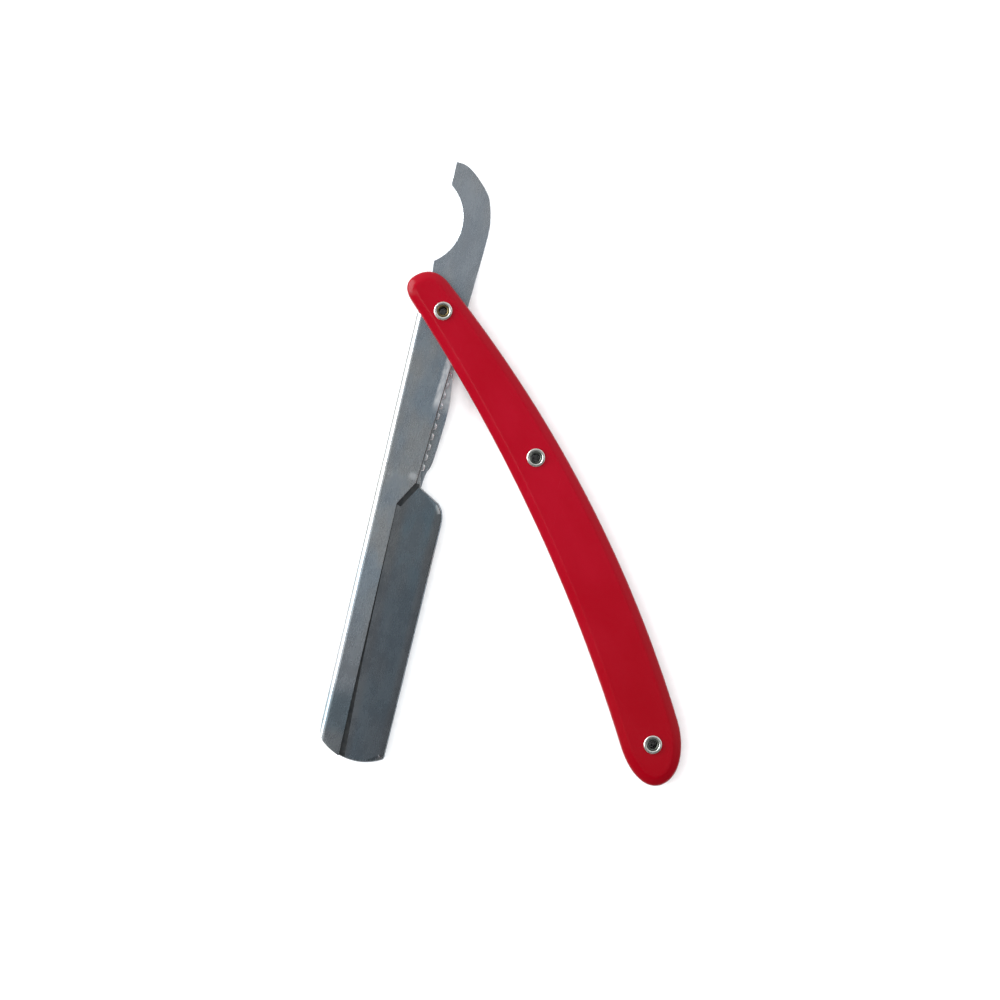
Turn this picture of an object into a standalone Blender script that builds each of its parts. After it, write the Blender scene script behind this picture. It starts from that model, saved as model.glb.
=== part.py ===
"""Barber's straight razor with a replaceable blade, lying open on its back collars.

Two plastic scales are held together by three hollow rivets. Between them turns the steel blade holder:
a blade leaf with its finger hook, and a folded spine leaf that swings away to release the blade.
Both leaves turn on the pivot rivet.
"""

import math

import bmesh
import bpy

MM = 0.001
COLLECTION = "straight_razor"

# Placing: +Z is up, and the origin is under the middle of the open razor.
PIVOT = (-14.29 * MM, 40.45 * MM, 0.0)
HANDLE_ANGLE = math.radians(-64.2)
OPEN_ANGLE = math.radians(39.0)

# Fits
SEAT_GAP = 0.05 * MM
RIVET_GAP = 0.1 * MM
RUNNING_GAP = 0.05 * MM

# Scales, in the handle's frame: x runs from the pivot to the end rivet, y towards the convex edge
SCALE_THICKNESS = 2.4 * MM
SLOT_WIDTH = 3.8 * MM
SCALE_TOP_END = -11.15 * MM
SCALE_TOP_CAP = 5.5 * MM
SCALE_TOP_SQUARENESS = 2.4
SCALE_LOWER_END = 130.2 * MM
SCALE_LOWER_CAP = 13.0 * MM
SCALE_LOWER_SQUARENESS = 2.1
SCALE_BOW_X = 59.5 * MM
SCALE_BOW_Y = 4.95 * MM
SCALE_BOW_RADIUS = 370.0 * MM
SCALE_PIVOT_WIDTH = 10.8 * MM
SCALE_WIDENING = 0.088
SCALE_NARROWING = 0.4
SCALE_ROUNDING = 1.8 * MM
SCALE_ROUNDING_STEPS = 4
TOP_CAP_STEPS = 7
SCALE_BODY_STEPS = 18
LOWER_CAP_STEPS = 9

# Rivets, collars and spacers
PIVOT_RIVET = (0.0, 0.0)
MIDDLE_RIVET = (43.0 * MM, 4.9 * MM)
END_RIVET = (120.1 * MM, 0.0)
TUBE_BORE_RADIUS = 1.0 * MM
TUBE_RADIUS = 1.25 * MM
LIP_RADIUS = 1.5 * MM
LIP_CREST_RADIUS = 1.3 * MM
LIP_RECESS = 0.06 * MM
LIP_EDGE = 0.08 * MM
LIP_ROOT_DEPTH = 0.4 * MM
BORE_FLARE_DEPTH = 0.25 * MM
COLLAR_RADIUS = 2.3 * MM
COLLAR_HEIGHT = 0.55 * MM
COLLAR_LAND_RADIUS = 1.68 * MM
COLLAR_SHOULDER = 0.25 * MM
COUNTERSINK_FLOOR = 0.22 * MM
SPACER_RADIUS = 1.75 * MM
BUSH_RADIUS = 2.1 * MM
WASHER_RADIUS = 4.6 * MM
WASHER_THICKNESS = 0.3 * MM
WEDGE_START = 116.0 * MM
WEDGE_INSET = 0.6 * MM
ROUND_STEPS = 24

# Blade holder, in the arm's frame: x runs from the pivot to the toe, y towards the cutting edge
SHEET = 0.6 * MM
HOLDER_THICKNESS = 3.0 * MM
LEAF_THICKNESS = 1.3 * MM
LEAF_FRONT_GAP = 0.2 * MM
LEAF_INSET = 0.2 * MM
PAD_HEIGHT = 0.5 * MM
PAD_INSET = 0.4 * MM
PAD_START = 49.6 * MM
PAD_GAP = 0.05 * MM
PAD_GAP_OPENING = 1.25 * MM
PAD_STEPS = 10
PIVOT_TAB_RADIUS = 5.0 * MM
SPINE_Y = -6.3 * MM
FOLD_START = 1.8 * MM
FOLD_STEPS = 16
LEAF_SPINE_Y = -5.1 * MM
TANG_Y = -4.8 * MM
TANG_START = 3.0 * MM
TANG_STEP = 1.0 * MM
TANG_END = -6.5 * MM
TOE_CENTRE = (101.35 * MM, 3.8 * MM)
TOE_RADIUS = 13.3 * MM
TOE_START = math.radians(-42.0)
TOE_END = math.radians(32.0)
TOE_STEPS = 12
HOOK_CENTRE = (-21.6 * MM, -12.3 * MM)
HOOK_RADIUS = 12.0 * MM
HOOK_TIP_Y = -5.3 * MM
HOOK_STEPS = 20
JIMP_START = (14.3 * MM, 5.08 * MM)
JIMP_END = (41.0 * MM, 3.67 * MM)
JIMP_COUNT = 10
JIMP_HEIGHT = 0.6 * MM
JIMP_FLANK = 0.1
JIMP_CREST = 0.44
PEG_RADIUS = 0.75 * MM
PEG_HEAD_RADIUS = 1.15 * MM
PEG_HEAD_GAP = 0.1 * MM
PEG_Y = 2.6 * MM
PEG_X = (59.0 * MM, 80.5 * MM, 102.0 * MM)

# The freeform stretches of the leaves' outlines, in millimetres in the arm's frame
HEAD_CORNER = ((52.4, 11.7), (50.3, 11.55), (48.5, 10.95), (47.1, 9.85))
SHOULDER_FOOT = (44.2, 4.65)
TOE_CORNER = (112.0, 11.07)
FOLD_CORNER = ((106.5, -6.3), (109.4, -6.05))
BACK_WALL_EDGE = (
    (42.3, 4.75), (40.2, 5.1), (38.6, 5.75), (36.0, 6.15), (29.0, 6.65), (22.5, 6.85), (16.0, 6.1),
    (9.0, 5.4),
)
FRONT_WALL_EDGE = ((-6.0, 6.0), (13.0, 4.93), (43.3, 3.05), (49.3, -0.35), (120.0, 0.15))
PAD_NECK = ((44.2, 4.13), (49.95, 0.65))
HOOK_BACK = (
    (-37.35, -5.3), (-36.95, -2.5), (-34.9, 0.6), (-31.2, 4.15), (-28.2, 5.5), (-24.5, 6.4), (-20.6, 6.6),
    (-16.0, 6.45),
)
HOOK_ROOT = (-3.0, 5.8)

# The sheet that the spine leaf is cut from reaches past its outline on every side.
SHEET_START = -7.0 * MM
SHEET_END = 120.0 * MM
SHEET_EDGE = 14.0 * MM

# Heights, from the ground up
BACK_SCALE_Z = COLLAR_HEIGHT + SEAT_GAP
SLOT_Z = BACK_SCALE_Z + SCALE_THICKNESS
SLOT_TOP = SLOT_Z + SLOT_WIDTH
FRONT_SCALE_TOP = SLOT_TOP + SCALE_THICKNESS
TOP_Z = FRONT_SCALE_TOP + SEAT_GAP + COLLAR_HEIGHT
MIDDLE_Z = (SLOT_Z + SLOT_TOP) / 2
HOLDER_Z = MIDDLE_Z - HOLDER_THICKNESS / 2
LEAF_TOP = MIDDLE_Z + HOLDER_THICKNESS / 2 - SHEET - LEAF_FRONT_GAP
LEAF_Z = LEAF_TOP - LEAF_THICKNESS


# ---------------------------------------------------------------- scene and materials


def clear_scene():
    for obj in list(bpy.data.objects):
        bpy.data.objects.remove(obj, do_unlink=True)


def make_collection(name):
    collection = bpy.data.collections.new(name)
    bpy.context.scene.collection.children.link(collection)
    return collection


def make_material(name, colour, roughness, metallic):
    material = bpy.data.materials.new(name)
    material.use_nodes = True
    shader = material.node_tree.nodes["Principled BSDF"]
    shader.inputs["Base Color"].default_value = (*colour, 1.0)
    shader.inputs["Roughness"].default_value = roughness
    shader.inputs["Metallic"].default_value = metallic
    return material


def make_frame(name, collection, location=(0, 0, 0), angle=0.0, parent=None):
    """An empty on a joint's axis, which carries the pieces that turn with it."""
    empty = bpy.data.objects.new(name, None)
    empty.empty_display_size = 10 * MM
    empty.location = location
    empty.rotation_euler = (0, 0, angle)
    empty.parent = parent
    collection.objects.link(empty)
    return empty


# ---------------------------------------------------------------- curves


def metres(points):
    return [(x * MM, y * MM) for x, y in points]


def arc(centre, radius, start, end, steps):
    """Points on a circle from one angle to another, both ends included."""
    turn = (end - start) / steps
    return [
        (centre[0] + radius * math.cos(start + i * turn), centre[1] + radius * math.sin(start + i * turn))
        for i in range(steps + 1)
    ]


def circle(centre, radius):
    """A hole's outline, without a doubled end point."""
    return arc(centre, radius, 0, math.tau, ROUND_STEPS)[:-1]


def smooth(points, steps):
    """A Catmull-Rom curve through the points, which leaves the last point out."""
    ends = [points[0], *points, points[-1]]
    path = []
    for a, b, c, d in zip(ends, ends[1:], ends[2:], ends[3:]):
        for i in range(steps):
            t = i / steps
            path.append(tuple(
                0.5 * (2 * q + (r - p) * t + (2 * p - 5 * q + 4 * r - s) * t * t
                       + (3 * q - p - 3 * r + s) * t ** 3)
                for p, q, r, s in zip(a, b, c, d)
            ))
    return path


# ---------------------------------------------------------------- outlines of the scales


def scale_middle(x):
    return SCALE_BOW_Y - (x - SCALE_BOW_X) ** 2 / (2 * SCALE_BOW_RADIUS)


def scale_half_width(x):
    return (SCALE_PIVOT_WIDTH + SCALE_WIDENING * x - SCALE_NARROWING * x * x) / 2


def cap_stations(end, length, steps):
    """Stations that close up towards a rounded end, from the end inwards."""
    return [end + length * (1 - math.cos(math.pi / 2 * i / steps)) for i in range(steps)]


def cap_share(x, end, length, squareness):
    """How much of the full width a rounded end leaves at x."""
    depth = min(abs(x - end) / length, 1.0)
    return (1 - (1 - depth) ** squareness) ** (1 / squareness)


def scale_stations():
    """Stations from the top end to the lower end, close together round the two ends."""
    start = SCALE_TOP_END + SCALE_TOP_CAP
    end = SCALE_LOWER_END - SCALE_LOWER_CAP
    top = cap_stations(SCALE_TOP_END, SCALE_TOP_CAP, TOP_CAP_STEPS)
    body = [start + (end - start) * i / SCALE_BODY_STEPS for i in range(SCALE_BODY_STEPS + 1)]
    return top + body + cap_stations(SCALE_LOWER_END, -SCALE_LOWER_CAP, LOWER_CAP_STEPS)[::-1]


def scale_outline(start=SCALE_TOP_END, inset=0.0):
    """The bowed outline of a scale, from a starting station down to its lower end."""
    convex, concave = [], []
    for x in scale_stations():
        if x < start:
            continue
        share = cap_share(x, SCALE_TOP_END, SCALE_TOP_CAP, SCALE_TOP_SQUARENESS)
        share *= cap_share(x, SCALE_LOWER_END, SCALE_LOWER_CAP, SCALE_LOWER_SQUARENESS)
        half = max(scale_half_width(x) * share - inset, 0.0)
        convex.append((x, scale_middle(x) + half))
        if half > 0:
            concave.append((x, scale_middle(x) - half))
    return convex + concave[::-1]


# ---------------------------------------------------------------- outlines of the leaves


def toe_arc(inset):
    return arc(TOE_CENTRE, TOE_RADIUS - inset, TOE_START, TOE_END, TOE_STEPS)


def head_edge(inset):
    """From the toe up the cutting edge, round the corner and down the shoulder to the shank."""
    corner = smooth(metres(HEAD_CORNER), 3) + metres([HEAD_CORNER[-1], SHOULDER_FOOT])
    (toe_x, toe_y), = metres([TOE_CORNER])
    return [(toe_x - inset, toe_y - inset)] + [(x + inset / 2, y - inset) for x, y in corner]


def spine_leaf_outline():
    """The whole leaf seen from the front: pivot tab, fold, toe, head and shank."""
    tab = arc(PIVOT_RIVET, PIVOT_TAB_RADIUS, math.radians(90), math.radians(270), 20)
    fold_end = [(FOLD_START, -PIVOT_TAB_RADIUS), (FOLD_START, SPINE_Y)]
    fold_corner = smooth(metres(FOLD_CORNER) + [toe_arc(0)[0]], 4)
    shank = smooth(metres(BACK_WALL_EDGE) + [(0.0, PIVOT_TAB_RADIUS)], 3)
    return tab + fold_end + fold_corner + toe_arc(0) + head_edge(0) + shank


def front_window_outline():
    """What is cut from the front wall: everything beyond the shank's front edge and the narrow lip."""
    edge = metres(FRONT_WALL_EDGE)
    return [(edge[0][0], SHEET_EDGE)] + edge + [(edge[-1][0], SHEET_EDGE)]


def jimped_edge():
    """Square teeth along the shank, from the pivot end to the head."""
    (x0, y0), (x1, y1) = JIMP_START, JIMP_END
    crest_end = JIMP_FLANK + JIMP_CREST
    tooth = ((0.0, 0.0), (JIMP_FLANK, JIMP_HEIGHT), (crest_end, JIMP_HEIGHT), (crest_end + JIMP_FLANK, 0.0))
    path = []
    for i in range(JIMP_COUNT):
        for share, height in tooth:
            along = (i + share) / JIMP_COUNT
            path.append((x0 + (x1 - x0) * along, y0 + (y1 - y0) * along + height))
    return path + [JIMP_END]


def blade_leaf_outline():
    """Finger hook, jimped shank and head plate."""
    reach = math.acos((HOOK_TIP_Y - HOOK_CENTRE[1]) / HOOK_RADIUS)
    hook = arc(HOOK_CENTRE, HOOK_RADIUS, math.pi / 2 - reach, math.pi / 2 + reach, HOOK_STEPS)
    back = smooth(metres(HOOK_BACK), 4) + metres([HOOK_ROOT])
    toe = [point for point in toe_arc(LEAF_INSET)[::-1] if point[1] > LEAF_SPINE_Y]
    spine = [
        (toe[-1][0] - LEAF_INSET, LEAF_SPINE_Y), (TANG_START + TANG_STEP, LEAF_SPINE_Y),
        (TANG_START, TANG_Y), (TANG_END, TANG_Y),
    ]
    return back + jimped_edge() + head_edge(LEAF_INSET)[::-1] + toe + spine + hook


def pad_outline():
    """The raised face of the head plate. Its gap to the lip opens towards the toe."""
    (x0, y0), (x1, y1) = metres(FRONT_WALL_EDGE[-2:])

    def lip_side(x):
        opening = (x - PAD_START) / (TOE_CENTRE[0] + TOE_RADIUS - PAD_START)
        return y0 + (y1 - y0) * (x - x0) / (x1 - x0) + PAD_GAP + PAD_GAP_OPENING * opening ** 3

    toe = [point for point in toe_arc(PAD_INSET) if point[1] > lip_side(point[0])]
    run = [PAD_START + (toe[0][0] - PAD_START) * i / PAD_STEPS for i in range(PAD_STEPS + 1)]
    return metres(PAD_NECK) + [(x, lip_side(x)) for x in run] + toe[1:] + head_edge(PAD_INSET)


# ---------------------------------------------------------------- shapes


def link(name, mesh, collection, parent):
    obj = bpy.data.objects.new(name, mesh)
    obj.parent = parent
    collection.objects.link(obj)
    return obj


def outline_curve(name, outlines, depth):
    """A filled flat curve of that depth: the first outline is its edge, the others are holes."""
    curve = bpy.data.curves.new(name, "CURVE")
    curve.dimensions = "2D"
    curve.fill_mode = "BOTH"
    curve.extrude = depth / 2
    for outline in outlines:
        spline = curve.splines.new("POLY")
        spline.points.add(len(outline) - 1)
        for point, (x, y) in zip(spline.points, outline):
            point.co = (x, y, 0, 1)
        spline.use_cyclic_u = True
    return curve


def weld(mesh):
    """Joins the caps to the sides and makes each flat stretch one face, with all faces outwards."""
    shape = bmesh.new()
    shape.from_mesh(mesh)
    bmesh.ops.remove_doubles(shape, verts=shape.verts, dist=0.001 * MM)
    bmesh.ops.recalc_face_normals(shape, faces=shape.faces)
    bmesh.ops.dissolve_limit(
        shape, angle_limit=math.radians(0.5), use_dissolve_boundaries=False,
        verts=shape.verts, edges=shape.edges,
    )
    shape.to_mesh(mesh)
    shape.free()


def converted(name, curve, location, rotation, collection, parent):
    """The curve as a welded mesh object in the same place."""
    drawing = bpy.data.objects.new(name + "_outline", curve)
    drawing.location = location
    drawing.rotation_euler = rotation
    collection.objects.link(drawing)
    depsgraph = bpy.context.evaluated_depsgraph_get()
    mesh = bpy.data.meshes.new_from_object(drawing.evaluated_get(depsgraph))
    mesh.transform(drawing.matrix_world)
    bpy.data.objects.remove(drawing, do_unlink=True)
    weld(mesh)
    mesh.name = name
    return link(name, mesh, collection, parent)


def plate(name, outlines, low, high, collection, parent):
    """A flat piece between two heights."""
    curve = outline_curve(name, outlines, high - low)
    return converted(name, curve, (0, 0, (low + high) / 2), (0, 0, 0), collection, parent)


def turned(name, profile, collection, parent, place=PIVOT_RIVET):
    """A round piece from (radius, height) points, down its outer side first.

    A profile that starts on the axis makes a solid piece, and any other is closed into a ring.
    """
    mesh = bpy.data.meshes.new(name)
    shape = bmesh.new()
    verts = [shape.verts.new((radius, 0, height)) for radius, height in profile]
    if profile[0][0] > 0:
        verts.append(verts[0])
    for a, b in zip(verts, verts[1:]):
        shape.edges.new((a, b))
    shape.to_mesh(mesh)
    shape.free()
    obj = link(name, mesh, collection, parent)
    obj.location = (*place, 0)
    screw = obj.modifiers.new("turn", "SCREW")
    screw.axis = "Z"
    screw.steps = ROUND_STEPS
    screw.render_steps = ROUND_STEPS
    screw.use_merge_vertices = True
    screw.merge_threshold = 0.01 * MM
    screw.use_smooth_shade = True
    return obj


def tube(name, inner, outer, low, high, collection, parent, place=PIVOT_RIVET):
    profile = [(outer, high), (outer, low), (inner, low), (inner, high)]
    return turned(name, profile, collection, parent, place)


def as_cutter(obj):
    obj.hide_render = True
    obj.display_type = "WIRE"
    return obj


def combine(obj, other, operation):
    boolean = obj.modifiers.new(operation.lower() + "_" + other.name, "BOOLEAN")
    boolean.operation = operation
    boolean.object = as_cutter(other)
    boolean.solver = "EXACT"


def finish(obj, material):
    obj.data.materials.clear()
    obj.data.materials.append(material)


# ---------------------------------------------------------------- handle


def round_rim(obj, rim_z):
    """Rounds the edge all round the face at that height."""
    shape = bmesh.new()
    shape.from_mesh(obj.data)
    rim = [
        edge for edge in shape.edges
        if all(abs(vert.co.z - rim_z) < SEAT_GAP for vert in edge.verts) and edge.calc_face_angle() > 0.5
    ]
    bmesh.ops.bevel(
        shape, geom=rim, offset=SCALE_ROUNDING, offset_type="OFFSET", segments=SCALE_ROUNDING_STEPS,
        profile=0.5, affect="EDGES", clamp_overlap=False,
    )
    shape.to_mesh(obj.data)
    shape.free()


def make_scale(name, low, outer_z, material, parts, cutters, frame):
    """One bowed scale, rounded all round its outer face, with its three rivet holes."""
    scale = plate(name, [scale_outline()], low, low + SCALE_THICKNESS, parts, frame)
    round_rim(scale, outer_z)
    for label, place in (("pivot", PIVOT_RIVET), ("middle", MIDDLE_RIVET), ("end", END_RIVET)):
        drill = plate(
            name + "_" + label + "_hole", [circle(place, TUBE_RADIUS + RIVET_GAP)],
            low - MM, low + SCALE_THICKNESS + MM, cutters, frame,
        )
        combine(scale, drill, "DIFFERENCE")
    finish(scale, material)


def collar_profile():
    """A cup washer seated on a scale: a flat land outside, countersunk for the rivet's lip."""
    shoulder_centre = (COLLAR_RADIUS - COLLAR_SHOULDER, COLLAR_HEIGHT - COLLAR_SHOULDER)
    shoulder = arc(shoulder_centre, COLLAR_SHOULDER, math.pi / 2, 0, 2)
    bore = TUBE_RADIUS + RIVET_GAP
    land = (COLLAR_LAND_RADIUS, COLLAR_HEIGHT)
    return [land] + shoulder + [(COLLAR_RADIUS, 0.0), (bore, 0.0), (bore, COUNTERSINK_FLOOR)]


def make_collars(label, place, material, parts, frame):
    front = turned(label + "_front_collar", collar_profile(), parts, frame, place)
    front.location.z = FRONT_SCALE_TOP + SEAT_GAP
    turned_over = [(radius, -height) for radius, height in collar_profile()[::-1]]
    back = turned(label + "_back_collar", turned_over, parts, frame, place)
    back.location.z = COLLAR_HEIGHT
    finish(front, material)
    finish(back, material)


def make_rivet(label, place, material, parts, frame):
    """A hollow rivet, its two ends rolled outwards into the collars."""
    lower = [
        (TUBE_RADIUS, LIP_ROOT_DEPTH), (LIP_RADIUS, LIP_RECESS + LIP_EDGE), (LIP_RADIUS, LIP_RECESS),
        (LIP_CREST_RADIUS, LIP_RECESS), (TUBE_BORE_RADIUS, BORE_FLARE_DEPTH),
    ]
    upper = [(radius, TOP_Z - height) for radius, height in lower[::-1]]
    finish(turned(label + "_rivet", upper + lower, parts, frame, place), material)


def make_spacers(materials, parts, frame):
    """What lies in the slot between the scales: spacer, wedge, bush and washers."""
    low, high = SLOT_Z + SEAT_GAP, SLOT_TOP - SEAT_GAP
    bore = TUBE_RADIUS + RIVET_GAP
    spacer = tube("middle_spacer", bore, SPACER_RADIUS, low, high, parts, frame, MIDDLE_RIVET)
    wedge_outlines = [scale_outline(WEDGE_START, WEDGE_INSET), circle(END_RIVET, bore)]
    wedge = plate("end_wedge", wedge_outlines, low, high, parts, frame)
    bush = tube("pivot_bush", bore, BUSH_RADIUS, low, high, parts, frame)
    clear = BUSH_RADIUS + RIVET_GAP
    back = tube("back_pivot_washer", clear, WASHER_RADIUS, low, low + WASHER_THICKNESS, parts, frame)
    front = tube("front_pivot_washer", clear, WASHER_RADIUS, high - WASHER_THICKNESS, high, parts, frame)
    finish(spacer, materials["nickel"])
    finish(wedge, materials["scale"])
    finish(bush, materials["brass"])
    finish(back, materials["washer"])
    finish(front, materials["washer"])


def make_handle(materials, parts, cutters, frame):
    make_scale("back_scale", BACK_SCALE_Z, BACK_SCALE_Z, materials["scale"], parts, cutters, frame)
    make_scale("front_scale", SLOT_TOP, FRONT_SCALE_TOP, materials["scale"], parts, cutters, frame)
    for label, place, metal in (
        ("pivot", PIVOT_RIVET, "brass"), ("middle", MIDDLE_RIVET, "nickel"), ("end", END_RIVET, "nickel"),
    ):
        make_collars(label, place, materials["nickel"], parts, frame)
        make_rivet(label, place, materials[metal], parts, frame)
    make_spacers(materials, parts, frame)


# ---------------------------------------------------------------- blade holder


def make_blade_leaf(materials, parts, cutters, frame):
    """The flat leaf that clamps the blade, with a raised face on its head."""
    hole = circle(PIVOT_RIVET, BUSH_RADIUS + RUNNING_GAP)
    leaf = plate("blade_leaf", [blade_leaf_outline(), hole], LEAF_Z, LEAF_TOP, parts, frame)
    pad_low, pad_high = LEAF_TOP - PAD_HEIGHT, LEAF_TOP + PAD_HEIGHT
    combine(leaf, plate("blade_leaf_pad", [pad_outline()], pad_low, pad_high, cutters, frame), "UNION")
    finish(leaf, materials["leaf"])


def folded_sheet(name, parts, frame):
    """A long U of sheet metal with its round fold along the spine."""
    outer = HOLDER_THICKNESS / 2
    inner = outer - SHEET
    fold = (SPINE_Y + outer, 0)
    quarter = math.pi / 2
    section = [(SHEET_EDGE, outer)] + arc(fold, outer, quarter, 3 * quarter, FOLD_STEPS)
    section += [(SHEET_EDGE, -outer), (SHEET_EDGE, -inner)]
    section += arc(fold, inner, 3 * quarter, quarter, FOLD_STEPS) + [(SHEET_EDGE, inner)]
    curve = outline_curve(name, [section], SHEET_END - SHEET_START)
    middle = ((SHEET_START + SHEET_END) / 2, 0, MIDDLE_Z)
    return converted(name, curve, middle, (quarter, 0, quarter), parts, frame)


def make_spine_leaf(materials, parts, cutters, frame):
    """The folded leaf: a full back wall, the fold, and a front wall that narrows to a lip."""
    leaf = folded_sheet("spine_leaf", parts, frame)
    blank = plate("spine_leaf_blank", [spine_leaf_outline()], 0, TOP_Z, cutters, frame)
    combine(leaf, blank, "INTERSECT")
    window = plate("spine_leaf_window", [front_window_outline()], MIDDLE_Z, TOP_Z, cutters, frame)
    combine(leaf, window, "DIFFERENCE")
    pivot_hole = [circle(PIVOT_RIVET, BUSH_RADIUS + RUNNING_GAP)]
    combine(leaf, plate("spine_leaf_pivot_hole", pivot_hole, 0, TOP_Z, cutters, frame), "DIFFERENCE")
    for i, x in enumerate(PEG_X):
        hole = [circle((x, PEG_Y), PEG_RADIUS + RIVET_GAP)]
        drill = plate(f"spine_leaf_peg_hole_{i + 1}", hole, 0, MIDDLE_Z, cutters, frame)
        combine(leaf, drill, "DIFFERENCE")
    finish(leaf, materials["leaf"])


def make_pegs(materials, parts, frame):
    """Headed pegs in the back wall, which locate the blade by its slot."""
    head_low = HOLDER_Z + SHEET + SEAT_GAP
    head_top = LEAF_Z - PEG_HEAD_GAP
    profile = [
        (0.0, head_top), (PEG_HEAD_RADIUS, head_top), (PEG_HEAD_RADIUS, head_low),
        (PEG_RADIUS, head_low), (PEG_RADIUS, HOLDER_Z), (0.0, HOLDER_Z),
    ]
    for i, x in enumerate(PEG_X):
        finish(turned(f"blade_peg_{i + 1}", profile, parts, frame, (x, PEG_Y)), materials["nickel"])


def main():
    clear_scene()
    parts = make_collection(COLLECTION)
    cutters = make_collection(COLLECTION + "_cutters")
    materials = {
        "scale": make_material("red_gloss_plastic", (0.43, 0.0, 0.012), 0.22, 0.0),
        "leaf": make_material("brushed_steel", (0.22, 0.25, 0.28), 0.38, 1.0),
        "nickel": make_material("nickel", (0.62, 0.62, 0.58), 0.2, 1.0),
        "brass": make_material("brass", (0.45, 0.27, 0.09), 0.35, 1.0),
        "washer": make_material("white_nylon", (0.75, 0.74, 0.7), 0.5, 0.0),
    }
    handle = make_frame("handle_frame", parts, PIVOT, HANDLE_ANGLE)
    blade_leaf = make_frame("blade_leaf_axis", parts, angle=-OPEN_ANGLE, parent=handle)
    spine_leaf = make_frame("spine_leaf_axis", parts, parent=blade_leaf)
    make_handle(materials, parts, cutters, handle)
    make_blade_leaf(materials, parts, cutters, blade_leaf)
    make_spine_leaf(materials, parts, cutters, spine_leaf)
    make_pegs(materials, parts, spine_leaf)


main()
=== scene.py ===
"""The finished look of the barber's straight razor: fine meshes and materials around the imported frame.

Local sizes are in millimetres. Each piece is built in its own local frame, with x along the handle or the
blade holder and y towards the convex or the cutting edge, and then placed on the frame's nodes.
"""

import math

import bmesh
import bpy
import numpy as np
from mathutils import Matrix, Vector


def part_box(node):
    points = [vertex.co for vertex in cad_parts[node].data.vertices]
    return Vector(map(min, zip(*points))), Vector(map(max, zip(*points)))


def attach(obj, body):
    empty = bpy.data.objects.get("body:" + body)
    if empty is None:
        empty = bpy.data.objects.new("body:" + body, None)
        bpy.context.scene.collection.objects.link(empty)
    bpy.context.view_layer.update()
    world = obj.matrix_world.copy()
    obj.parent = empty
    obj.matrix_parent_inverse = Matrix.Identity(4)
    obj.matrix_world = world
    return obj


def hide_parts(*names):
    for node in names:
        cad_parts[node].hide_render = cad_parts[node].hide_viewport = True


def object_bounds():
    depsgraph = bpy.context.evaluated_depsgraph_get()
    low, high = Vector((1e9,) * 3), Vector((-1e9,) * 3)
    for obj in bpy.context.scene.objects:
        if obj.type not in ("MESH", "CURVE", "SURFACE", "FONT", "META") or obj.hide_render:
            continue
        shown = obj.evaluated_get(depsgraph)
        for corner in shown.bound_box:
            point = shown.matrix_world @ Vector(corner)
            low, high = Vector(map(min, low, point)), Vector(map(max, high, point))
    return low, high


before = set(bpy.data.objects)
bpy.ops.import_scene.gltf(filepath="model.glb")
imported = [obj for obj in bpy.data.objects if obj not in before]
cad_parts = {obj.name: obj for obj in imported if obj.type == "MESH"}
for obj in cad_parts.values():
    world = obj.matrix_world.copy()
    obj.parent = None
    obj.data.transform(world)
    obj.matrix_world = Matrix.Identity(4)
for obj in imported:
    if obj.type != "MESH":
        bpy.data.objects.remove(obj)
cad_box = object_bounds()

MM = 0.001

# Scales: x runs from the pivot to the end rivet, y towards the convex edge
SCALE_TOP_END = -11.15
SCALE_TOP_CAP = 5.5
SCALE_TOP_SQUARENESS = 2.4
SCALE_LOWER_END = 130.2
SCALE_LOWER_CAP = 13.0
SCALE_LOWER_SQUARENESS = 2.1
SCALE_BOW_X = 59.5
SCALE_BOW_Y = 4.95
SCALE_BOW_RADIUS = 370.0
SCALE_PIVOT_WIDTH = 10.8
SCALE_WIDENING = 0.088
SCALE_NARROWING = 0.0004
CHAMFER_WIDTH = 2.3
CHAMFER_DROP = 1.0
CHAMFER_CURVE = 1.3
EDGE_ROUNDING = 0.5
CROWN_WIDTH = 5.0
CROWN_DROP = 0.12
TOP_CAP_STEPS = 22
SCALE_BODY_STEPS = 56
LOWER_CAP_STEPS = 30
# How far in from the scale's edge each row of points on its outer face lies
FACE_ROWS = (
    0, 0.02, 0.06, 0.12, 0.2, 0.3, 0.4, 0.5, 0.8, 1.1, 1.4, 1.7, 1.95, 2.15, 2.3, 2.6, 3.2, 4.0, 5.0,
)
WEDGE_START = 116.0
WEDGE_INSET = 0.6

# Rivets and collars
RIVET_GAP = 0.1
TUBE_BORE_RADIUS = 1.0
TUBE_RADIUS = 1.25
WASHER_BORE_RADIUS = 2.2
ROUND_STEPS = 64

# Blade holder: x runs from the pivot to the toe, y towards the cutting edge
SHEET = 0.6
LEAF_THICKNESS = 1.3
LEAF_INSET = 0.2
PIVOT_TAB_RADIUS = 5.0
PIVOT_HOLE_RADIUS = 2.15
SPINE_Y = -6.3
FOLD_START = 1.8
FOLD_CUTS = 28
LEAF_SPINE_Y = -5.1
TANG_Y = -4.8
TANG_START = 3.0
TANG_STEP = 1.0
TANG_END = -6.5
TOE_CENTRE = (101.35, 3.8)
TOE_RADIUS = 13.3
TOE_START = math.radians(-42.0)
TOE_END = math.radians(32.0)
TOE_STEPS = 36
HOOK_CENTRE = (-21.6, -12.3)
HOOK_RADIUS = 12.0
HOOK_TIP_Y = -5.3
HOOK_STEPS = 60
JIMP_START = (14.3, 5.08)
JIMP_END = (41.0, 3.67)
JIMP_COUNT = 10
JIMP_HEIGHT = 0.6
JIMP_FLANK = 0.1
JIMP_CREST = 0.44
JIMP_ROUNDING = (0.55, 0.3)
PAD_INSET = 0.4
PAD_SLOPE = 0.03
PAD_ROOT = 0.3
PAD_BAND = 1.15
PAD_BAND_DROP = 0.16
PAD_BAND_Y = 8.6
PAD_BAND_BLEND = 1.4
PAD_EDGE = 0.05
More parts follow.
